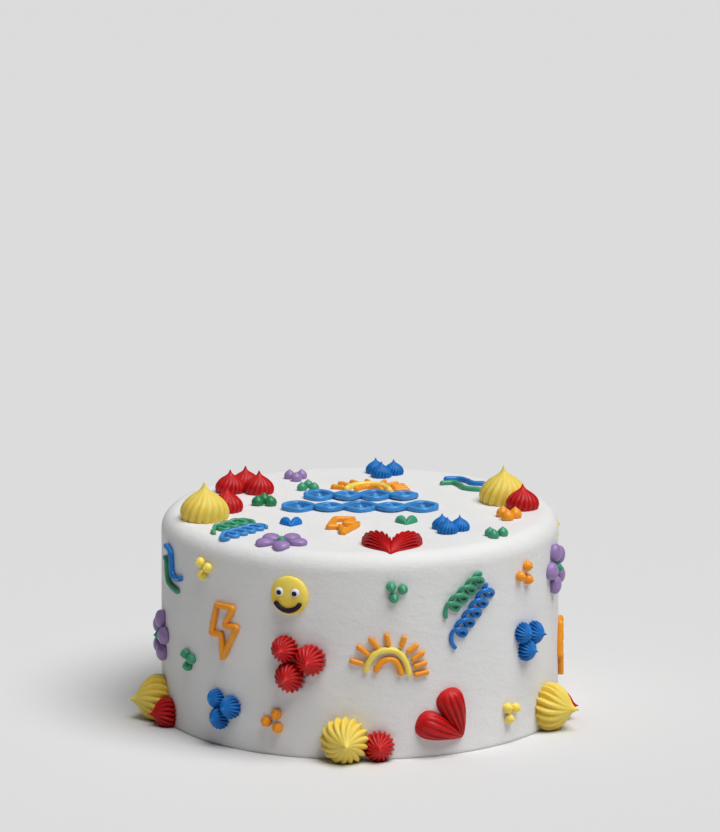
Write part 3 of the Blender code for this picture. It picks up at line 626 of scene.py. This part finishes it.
def lobe(length, radius, height, ridges, seed, mirror):
    """One half of a heart: its tail at the origin, its head out along y."""
    random = np.random.default_rng(seed)
    share = smooth_path(np.array(LOBE_PROFILE) * (LOBE_STRETCH, 1.0, 1.0), LOBE_ROWS)
    along = np.clip(share[:, 0] / LOBE_STRETCH, 0.0, 1.0)[:, None]
    half = share[:, 1][:, None] * radius
    rise = share[:, 2][:, None] * height
    angle = np.arange(LOBE_SIDES)[None, :] * math.tau / LOBE_SIDES
    if ridges:
        number = np.floor(angle / math.tau * ridges + 0.5).astype(int) % ridges
        off = angle / math.tau * ridges
        off = off - np.round(off)
        strength = random.uniform(*LOBE_STRENGTHS, ridges)[number]
        tail, head = LOBE_FADES
        fade = np.clip(along / tail, 0.0, 1.0) * np.clip((1.0 - along) / head, 0.0, 1.0)
        rib = np.sqrt(np.cos(math.pi * off) ** 2 + LOBE_SOFTNESS)
        groove = np.clip(1.0 - rib, 0.0, 1.0) * strength * fade
    else:
        groove = np.zeros((LOBE_ROWS, LOBE_SIDES))
    swell = 1.0 - LOBE_GROOVE * groove
    x = half * np.cos(angle) * (1.0 - LOBE_SIDE_GROOVE * groove)
    z = np.where(np.sin(angle) > 0, rise * np.sin(angle) * swell,
                 SINK * np.sin(angle) * np.ones_like(rise))
    y = along * length * np.ones_like(x)
    x = mirror * x
    rings = np.stack([x, y, z], -1)
    waves = wobble(rings.reshape(-1, 3), radius, seed).reshape(x.shape)
    rings[..., 2] += LOBE_UNEVEN * radius * waves
    start = np.array([[0.0, LOBE_ENDS[0], 0.0]])
    end = np.array([[0.0, length + LOBE_ENDS[1], 0.0]])
    points, faces = rings_to_shape(rings, start, end)
    # painted shade: the grooves' depth sets how much shaded colour they get
    shade = np.concatenate([(groove * np.ones_like(x)).ravel(), [0.0, 0.0]])
    return points, faces, shade


def turned(shape, angle, shift=(0.0, 0.0, 0.0), size=(1.0, 1.0, 1.0)):
    """A shape scaled, then turned in the patch, then moved."""
    points, faces, shade = shape
    points = points * np.array(size)
    cosine, sine = math.cos(angle), math.sin(angle)
    x = points[:, 0] * cosine - points[:, 1] * sine
    y = points[:, 0] * sine + points[:, 1] * cosine
    return np.stack([x, y, points[:, 2]], 1) + np.array(shift), faces, shade


def placed(shape, place, floor=False):
    """A shape laid on the cake, in metres, and kept above the floor if asked."""
    points, faces, shade = shape
    points = place(points)
    if floor:
        points[:, 2] = np.maximum(points[:, 2], FLOOR_GAP * MM)
    return points, faces, shade


def add_piece(name, shapes, paint, replaced, glossy=False):
    """Join placed shapes in one piece that stands for CAD nodes."""
    points = np.vstack([shape[0] for shape in shapes])
    faces = []
    start = 0
    for shape in shapes:
        faces += [[start + k for k in face] for face in shape[1]]
        start += len(shape[0])
    mesh = bpy.data.meshes.new(name)
    mesh.from_pydata(points.tolist(), [], faces)
    mesh.validate()
    work = bmesh.new()
    work.from_mesh(mesh)
    bmesh.ops.recalc_face_normals(work, faces=work.faces)
    work.to_mesh(mesh)
    work.free()
    # painted shade of each point, from its groove depth or from the face's lower side
    groove = np.concatenate([shape[2] for shape in shapes]).astype(np.float32)
    mesh.attributes.new("groove", "FLOAT", "POINT").data.foreach_set("value", groove)
    mesh.shade_smooth()
    piece = bpy.data.objects.new(name, mesh)
    bpy.context.scene.collection.objects.link(piece)
    mesh.materials.append(icing(paint, glossy) if paint in PAINTS else white_icing())
    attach(piece, BODY)
    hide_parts(*replaced)


def node(tree, kind, values=None, **settings):
    """A shader node with its settings and the values of its sockets."""
    made = tree.nodes.new(kind)
    for key, value in settings.items():
        setattr(made, key, value)
    for key, value in (values or {}).items():
        made.inputs[key].default_value = value
    return made


def icing(paint, glossy):
    """Piped buttercream: satin, slightly translucent, with painted shade in its grooves."""
    label = ("glossy_icing_" if glossy else "icing_") + paint
    found = bpy.data.materials.get(label)
    if found:
        return found
    shaded, lit, roughness = PAINTS[paint]
    roughness -= GLOSS if glossy else 0.0
    material = bpy.data.materials.new(label)
    material.use_nodes = True
    tree = material.node_tree
    shader = tree.nodes["Principled BSDF"]
    link = tree.links.new
    place = node(tree, "ShaderNodeTexCoord")
    broad = node(tree, "ShaderNodeTexNoise", {"Scale": 260.0, "Detail": 3.0, "Roughness": 0.55})
    fine = node(tree, "ShaderNodeTexNoise", {"Scale": 2600.0, "Detail": 3.0, "Roughness": 0.6})
    link(place.outputs["Object"], broad.inputs["Vector"])
    link(place.outputs["Object"], fine.inputs["Vector"])
    # painted shade: the groove attribute pulls the colour towards its shaded copy
    groove = node(tree, "ShaderNodeAttribute", attribute_name="groove")
    spread = node(tree, "ShaderNodeMapRange", {"From Min": 0.3, "From Max": 0.7,
                                               "To Min": 0.7, "To Max": 1.0})
    link(broad.outputs["Fac"], spread.inputs["Value"])
    painted_shade = node(tree, "ShaderNodeMath", {1: GROOVE_SHADE}, operation="MULTIPLY")
    link(groove.outputs["Fac"], painted_shade.inputs[0])
    mixed = node(tree, "ShaderNodeMath", operation="SUBTRACT", use_clamp=True)
    link(spread.outputs["Result"], mixed.inputs[0])
    link(painted_shade.outputs["Value"], mixed.inputs[1])
    # lit and shaded copies of one colour: the shaded one is painted shade, mottled in by noise
    colour = node(tree, "ShaderNodeMix", data_type="RGBA")
    colour.inputs["A"].default_value = (*shaded, 1.0)
    colour.inputs["B"].default_value = (*lit, 1.0)
    link(mixed.outputs["Value"], colour.inputs["Factor"])
    link(colour.outputs["Result"], shader.inputs["Base Color"])
    rough = node(tree, "ShaderNodeMapRange", {"From Min": 0.3, "From Max": 0.7,
                                              "To Min": roughness + ROUGH_SPREAD[0],
                                              "To Max": roughness + ROUGH_SPREAD[1]})
    link(fine.outputs["Fac"], rough.inputs["Value"])
    link(rough.outputs["Result"], shader.inputs["Roughness"])
    bump = node(tree, "ShaderNodeBump", {"Strength": 0.22, "Distance": 0.0003})
    link(fine.outputs["Fac"], bump.inputs["Height"])
    link(bump.outputs["Normal"], shader.inputs["Normal"])
    shader.inputs["Subsurface Weight"].default_value = SUBSURFACE["yellow" in paint]
    shader.inputs["Subsurface Radius"].default_value = SUBSURFACE_RADIUS
    shader.inputs["Subsurface Scale"].default_value = 1.0
    shader.inputs["Specular IOR Level"].default_value = SPECULAR[glossy]
    return material


def white_icing():
    """Smoothed buttercream with faint slanting spatula marks."""
    material = bpy.data.materials.new("icing_white")
    material.use_nodes = True
    tree = material.node_tree
    shader = tree.nodes["Principled BSDF"]
    link = tree.links.new
    place = node(tree, "ShaderNodeTexCoord")
    slant = node(tree, "ShaderNodeMapping", {"Rotation": (0.35, 0.75, 0.3),
                                             "Scale": (1.0, 1.0, 1.9)})
    link(place.outputs["Object"], slant.inputs["Vector"])
    broad = node(tree, "ShaderNodeTexNoise", {"Scale": 42.0, "Detail": 2.0, "Roughness": 0.5})
    marks = node(tree, "ShaderNodeTexNoise", {"Scale": 125.0, "Detail": 5.0, "Roughness": 0.62})
    grain = node(tree, "ShaderNodeTexNoise", {"Scale": 700.0, "Detail": 3.0, "Roughness": 0.6})
    link(place.outputs["Object"], broad.inputs["Vector"])
    link(slant.outputs["Vector"], marks.inputs["Vector"])
    link(place.outputs["Object"], grain.inputs["Vector"])
    colour = node(tree, "ShaderNodeMix", data_type="RGBA")
    colour.inputs["A"].default_value, colour.inputs["B"].default_value = WHITE_SHADES
    link(broad.outputs["Fac"], colour.inputs["Factor"])
    link(colour.outputs["Result"], shader.inputs["Base Color"])
    rough = node(tree, "ShaderNodeMapRange", {"To Min": 0.52, "To Max": 0.68})
    link(marks.outputs["Fac"], rough.inputs["Value"])
    link(rough.outputs["Result"], shader.inputs["Roughness"])
    low = node(tree, "ShaderNodeBump", {"Strength": 0.42, "Distance": 0.0010})
    link(marks.outputs["Fac"], low.inputs["Height"])
    high = node(tree, "ShaderNodeBump", {"Strength": 0.35, "Distance": 0.0003})
    link(grain.outputs["Fac"], high.inputs["Height"])
    link(low.outputs["Normal"], high.inputs["Normal"])
    link(high.outputs["Normal"], shader.inputs["Normal"])
    shader.inputs["Subsurface Weight"].default_value = 0.1
    shader.inputs["Subsurface Radius"].default_value = WHITE_SUBSURFACE_RADIUS
    shader.inputs["Subsurface Scale"].default_value = 1.0
    shader.inputs["Specular IOR Level"].default_value = 0.4
    return material


def add_icing():
    """The iced cylinder, with the slight unevenness of a spatula."""
    edge = [(CAKE_RADIUS - FOOT_EDGE, 0.0), (CAKE_RADIUS, FOOT_EDGE)]
    heights = np.linspace(WALL_START, CAKE_HEIGHT - TOP_EDGE_RADIUS, WALL_RINGS)
    edge += [(float(wall_radius(np.array(h))), h) for h in heights]
    for angle in np.linspace(0.0, math.pi / 2, EDGE_RINGS)[1:]:
        edge.append((CAKE_RADIUS - WALL_LEAN - TOP_EDGE_RADIUS * (1 - math.cos(angle)),
                     CAKE_HEIGHT - TOP_EDGE_RADIUS * (1 - math.sin(angle))))
    flat = CAKE_RADIUS - WALL_LEAN - TOP_EDGE_RADIUS
    edge += [(r, CAKE_HEIGHT) for r in np.linspace(flat, INNER_RING, TOP_RINGS)[1:]]
    edge = np.array(edge)
    angle = np.arange(ICING_SIDES) * math.tau / ICING_SIDES
    x = edge[:, 0][:, None] * np.cos(angle)
    y = edge[:, 0][:, None] * np.sin(angle)
    z = np.broadcast_to(edge[:, 1][:, None], x.shape)
    rings = np.stack([x, y, z], -1)
    uneven = np.zeros(x.shape)
    for size, seed, depth in ICING_WAVES:
        uneven += wobble(rings.reshape(-1, 3), size, seed).reshape(x.shape) * depth
    turn, width = WAVES_TURN
    out = np.clip((edge[:, 0] - turn) / width, 0.0, 1.0)[:, None]
    rings[..., 0] += uneven * out * np.cos(angle)
    rings[..., 1] += uneven * out * np.sin(angle)
    rings[..., 2] = np.maximum(rings[..., 2] + uneven * (1 - out), 0.0)
    points, faces = rings_to_shape(rings, np.array([[0.0, 0.0, 0.0]]),
                                   np.array([[0.0, 0.0, CAKE_HEIGHT]]))
    add_piece("white_icing", [(points * MM, faces, np.zeros(len(points)))], "white", ["cake_body"])


def ridged(radius, seed, kind, lean=(0.0, 0.0), rows=ROWS["dollop"]):
    """A dollop with the ridges of a star nozzle."""
    return piped(radius, radius * DOLLOP_RISE, DOLLOP_PROFILE, seed, rows, RIDGES, lean, kind)


def add_pairs():
    """The pairs of a yellow and a red dollop, at the foot and on the top."""
    for number, (yellow, lean, red, red_lean) in enumerate(BASE_PAIRS, 1):
        shape = ridged(YELLOW_RADIUS, number, "broad", lean)
        add_piece(f"yellow_dollop_{number}", [placed(shape, on_side(*yellow), True)], "yellow",
                  [f"yellow_base_{number}"])
        shape = ridged(BASE_RED_RADIUS, SEEDS["foot red"] + number, "crisp", red_lean)
        add_piece(f"red_dollop_{number}", [placed(shape, on_side(*red), True)], "red",
                  [f"red_base_{number}"])
    for number, (label, yellow, red, red_radius) in enumerate(TOP_PAIRS):
        shape = ridged(YELLOW_RADIUS, SEEDS["top yellow"] + number, "soft")
        add_piece(f"yellow_dollop_{label}", [placed(shape, on_top(*yellow))], "yellow",
                  [f"yellow_top_{label}"])
        shape = ridged(red_radius, SEEDS["top red"] + number, "soft")
        add_piece(f"red_dollop_{label}", [placed(shape, on_top(*red))], "red",
                  [f"red_top_{label}"])


def add_trios():
    """The groups of three ridged dollops."""
    for number, (name, paint, where, dollops) in enumerate(TRIOS):
        shapes = []
        kind = "soft" if where == "top" else "crisp"
        for count, (across, up, radius) in enumerate(dollops):
            shape = ridged(radius, SEEDS["trio"] + 5 * number + count, kind,
                           rows=ROWS[paint + " trio"])
            shapes.append(placed(shape, placer(where, (across, up))))
        add_piece("piped_" + name, shapes, paint, [name])


def heart(where, point, axis, radius, length, height, ridges, seed):
    """Two lobes that meet in a point."""
    shapes = []
    for side in (-1, 1):
        angle = math.radians(axis - 90) + side * HEART_HALF_ANGLE
        shape = lobe(length, radius, height, ridges, seed + side, side)
        shapes.append(placed(turned(shape, angle), placer(where, point)))
    return shapes


def add_hearts():
    """The red hearts and the two small ones on the top."""
    for number, (name, where, point, axis, fanned) in enumerate(HEARTS):
        seed = SEEDS["heart"] + 4 * number
        if fanned:
            shapes = []
            for side in (-1, 1):
                shape = turned(fan(side, seed + side), math.radians(axis - 90), size=FAN_SIZE)
                shapes.append(placed(shape, placer(where, point)))
        else:
            shapes = heart(where, point, axis, HEART_LOBE_RADIUS, HEART_LOBE_LENGTH,
                           HEART_LOBE_RADIUS, HEART_RIDGES, seed)
        add_piece("piped_" + name, shapes, "red", [name])
    for number, (paint, point) in enumerate(SMALL_HEARTS):
        shapes = heart("top", point, SMALL_HEART_AXIS, SMALL_LOBE_RADIUS, SMALL_LOBE_LENGTH,
                       SMALL_LOBE_HEIGHT, 0, SEEDS["small heart"] + 4 * number)
        add_piece(f"small_heart_{paint}", shapes, paint, ["cake_body"])


def add_flowers():
    """The purple petals and the green middles."""
    for number, (name, where, spot, first) in enumerate(FLOWERS):
        place = placer(where, spot)
        petal_height, middle_radius, middle_height = FLOWER_HEIGHTS[where]
        petals = []
        for petal in range(PETALS):
            angle = math.radians(first) + petal * math.tau / PETALS
            shape = piped(PETAL_RADIUS, petal_height, PETAL_PROFILE,
                          SEEDS["petal"] + 6 * number + petal, ROWS["petal"])
            shape = turned(shape, 0.0, size=PETAL_SIZE)
            reach = (PETAL_REACH * math.cos(angle), PETAL_REACH * math.sin(angle), 0.0)
            petals.append(placed(turned(shape, angle, reach), place))
        add_piece("petals_" + name, petals, "purple", [name], True)
        middle = piped(middle_radius, middle_height, DROP_PROFILE, SEEDS["middle"] + number,
                       ROWS["middle"])
        add_piece("middle_" + name, [placed(middle, place)], "green", [name])


def on_face(x, y):
    """How high the face's dome is at a place on it."""
    share = np.array([row[1] for row in DOME_PROFILE[2:]] + [0.0])[::-1]
    rise = np.array([row[0] for row in DOME_PROFILE[2:]] + [1.0])[::-1]
    return FACE_HEIGHT * float(np.interp(math.hypot(x, y) / FACE_RADIUS, share, rise))


def add_face():
    """The smiling face, with painted shade that darkens it towards the lower left."""
    place = placer("side", FACE_SPOT)
    points, faces, _ = piped(FACE_RADIUS, FACE_HEIGHT, DOME_PROFILE, SEEDS["disc"], ROWS["disc"])
    # painted shade, darker towards the face's lower left
    middle, down, left = FACE_SHADE
    low = middle - down * (points[:, 1] + left * points[:, 0]) / FACE_RADIUS
    low = np.clip(low, 0.0, 1.0)
    add_piece("face_disc", [placed((points, faces, low), place)], "bright_yellow",
              ["smiling_face"])
    eyes = []
    dark = []
    for x, y in EYES:
        dome = on_face(x, y)
        eye = piped(EYE_RADIUS, EYE_HEIGHT, DOME_PROFILE, SEEDS["eye"], ROWS["eye"])
        eyes.append(placed(turned(eye, 0.0, (x, y, dome + EYE_LIFT)), place))
        pupil = piped(PUPIL_RADIUS, PUPIL_HEIGHT, DOME_PROFILE, SEEDS["pupil"], ROWS["pupil"])
        across, up, out = PUPIL_SHIFT
        dark.append(placed(turned(pupil, 0.0, (x + across, y + up, dome + out)), place))
    add_piece("face_eyes", eyes, "eye_white", ["smiling_face"])
    mouth = arc(MOUTH_RADIUS, MOUTH_SWEEP, MOUTH_STEPS)
    path = [(x, y, on_face(x, y) + MOUTH_LIFT) for x, y in mouth]
    dark.append(placed(line(path, MOUTH_TUBE_RADIUS, SEEDS["mouth"]), place))
    add_piece("face_pupils_and_mouth", dark, "black", ["smiling_face"])


def add_fused():
    """The small toppings, joined by colour."""
    groups = {}

    def add(paint, shape, place):
        groups.setdefault(paint, []).append(placed(shape, place))

    seed = SEEDS["fused"]
    for where, paint, radius, spots in DOTS:
        for spot in spots:
            seed += 1
            drop = piped(radius, radius * DROP_RISE, DROP_PROFILE, seed, ROWS["drop"])
            add(paint, drop, placer(where, spot))
    for where, centre in SUNS:
        place = placer(where, centre)
        for paint, points in SUN_ARCHES:
            seed += 1
            add(paint, line(points, ARCH_TUBE_RADIUS, seed), place)
        for outer, inner in SUN_RAYS:
            seed += 1
            add("orange", line(extended(outer, inner, TUBE_RADIUS), TUBE_RADIUS, seed), place)
    for where, centre, wide, tall in BOLTS:
        seed += 1
        corners = np.array([(x * wide, y * tall) for x, y in BOLT])
        rounded = []
        for before, corner, after in zip(np.roll(corners, 1, 0), corners, np.roll(corners, -1, 0)):
            for other in (before, after):
                away = (other - corner) / np.linalg.norm(other - corner)
                rounded.append(tuple(corner + away * BOLT_CORNER))
        add("orange", line(rounded, BOLT_TUBE_RADIUS, seed, closed=True), placer(where, centre))
    for paint, where, centre, points in STREAMERS:
        seed += 1
        add(paint, line(points, STREAMER_TUBE_RADIUS, seed), placer(where, centre))
    for paint, where, spot, tail, start, step, loops, end in COILS:
        seed += 1
        path = coil(tail, start, step, loops, end, COIL_LIFTS[where])
        add(paint, line(path, COIL_TUBE_RADIUS, seed), placer(where, spot))
    for (x0, y0), length, loops in BRAIDS:
        for side in (-1, 1):
            seed += 1
            along = np.linspace(0.0, 1.0, loops * BRAID_STEPS + 1)
            wave = side * np.sin(math.pi * loops * along)
            points = [(x0 + length * t, y0 + BRAID_HALF_WIDTH * w, BRAID_CROSSING * side)
                      for t, w in zip(along, wave)]
            add("bright_blue", line(points, BRAID_RADIUS, seed, lift=BRAID_LIFT),
                on_top(0.0, 0.0))
        for loop in range(loops):
            seed += 1
            bead = piped(BEAD_RADIUS, BEAD_RADIUS * BEAD_RISE, DROP_PROFILE, seed, ROWS["bead"])
            add("bright_blue", bead, on_top(x0 + length * (loop + 0.5) / loops, y0))
    for paint, shapes in groups.items():
        add_piece("toppings_" + paint, shapes, paint, ["cake_body"], True)


def add_stage():
    """A plain pale floor."""
    mesh = bpy.data.meshes.new("floor")
    reach = FLOOR_REACH
    corners = [(-reach, -reach, 0), (reach, -reach, 0), (reach, reach, 0), (-reach, reach, 0)]
    mesh.from_pydata(corners, [], [(0, 1, 2, 3)])
    floor = bpy.data.objects.new("floor", mesh)
    bpy.context.scene.collection.objects.link(floor)
    material = bpy.data.materials.new("pale_floor")
    material.use_nodes = True
    shader = material.node_tree.nodes["Principled BSDF"]
    shader.inputs["Base Color"].default_value = FLOOR_COLOUR
    shader.inputs["Roughness"].default_value = 0.9
    shader.inputs["Specular IOR Level"].default_value = 0.2
    mesh.materials.append(material)


def add_light(name, azimuth, elevation, spread, power):
    """A broad light that shines on the cake from azimuth and elevation."""
    light = bpy.data.lights.new(name, "SUN")
    light.angle = math.radians(spread)
    light.energy = power
    lamp = bpy.data.objects.new(name, light)
    bpy.context.scene.collection.objects.link(lamp)
    a, e = math.radians(azimuth), math.radians(elevation)
    towards = Vector((math.sin(a) * math.cos(e), -math.cos(a) * math.cos(e), math.sin(e)))
    lamp.location = towards
    lamp.rotation_euler = towards.to_track_quat("Z", "Y").to_euler()


def add_lights():
    """Soft studio light."""
    for light in LIGHTS:
        add_light(*light)
    world = bpy.data.worlds.new("studio")
    world.use_nodes = True
    background = world.node_tree.nodes["Background"]
    background.inputs["Color"].default_value = (1.0, 1.0, 1.0, 1.0)
    background.inputs["Strength"].default_value = WORLD_STRENGTH
    bpy.context.scene.world = world
    bpy.context.scene.view_settings.view_transform = "Standard"
    bpy.context.scene.view_settings.look = "None"


def add_camera():
    """A long lens at the photograph's angle, with the cake low in its frame."""
    camera = bpy.data.cameras.new("camera")
    camera.lens = CAMERA_LENS
    camera.sensor_width = CAMERA_SENSOR
    camera.clip_end = CAMERA_END
    holder = bpy.data.objects.new("camera", camera)
    bpy.context.scene.collection.objects.link(holder)
    holder.location = (0.0, -CAMERA_DISTANCE * math.cos(CAMERA_ELEVATION),
                       CAMERA_AIM + CAMERA_DISTANCE * math.sin(CAMERA_ELEVATION))
    holder.rotation_euler = (math.pi / 2 - CAMERA_PITCH, 0.0, 0.0)
    bpy.context.scene.camera = holder


add_icing()
add_pairs()
add_trios()
add_hearts()
add_flowers()
add_face()
add_fused()
add_stage()
add_lights()
add_camera()
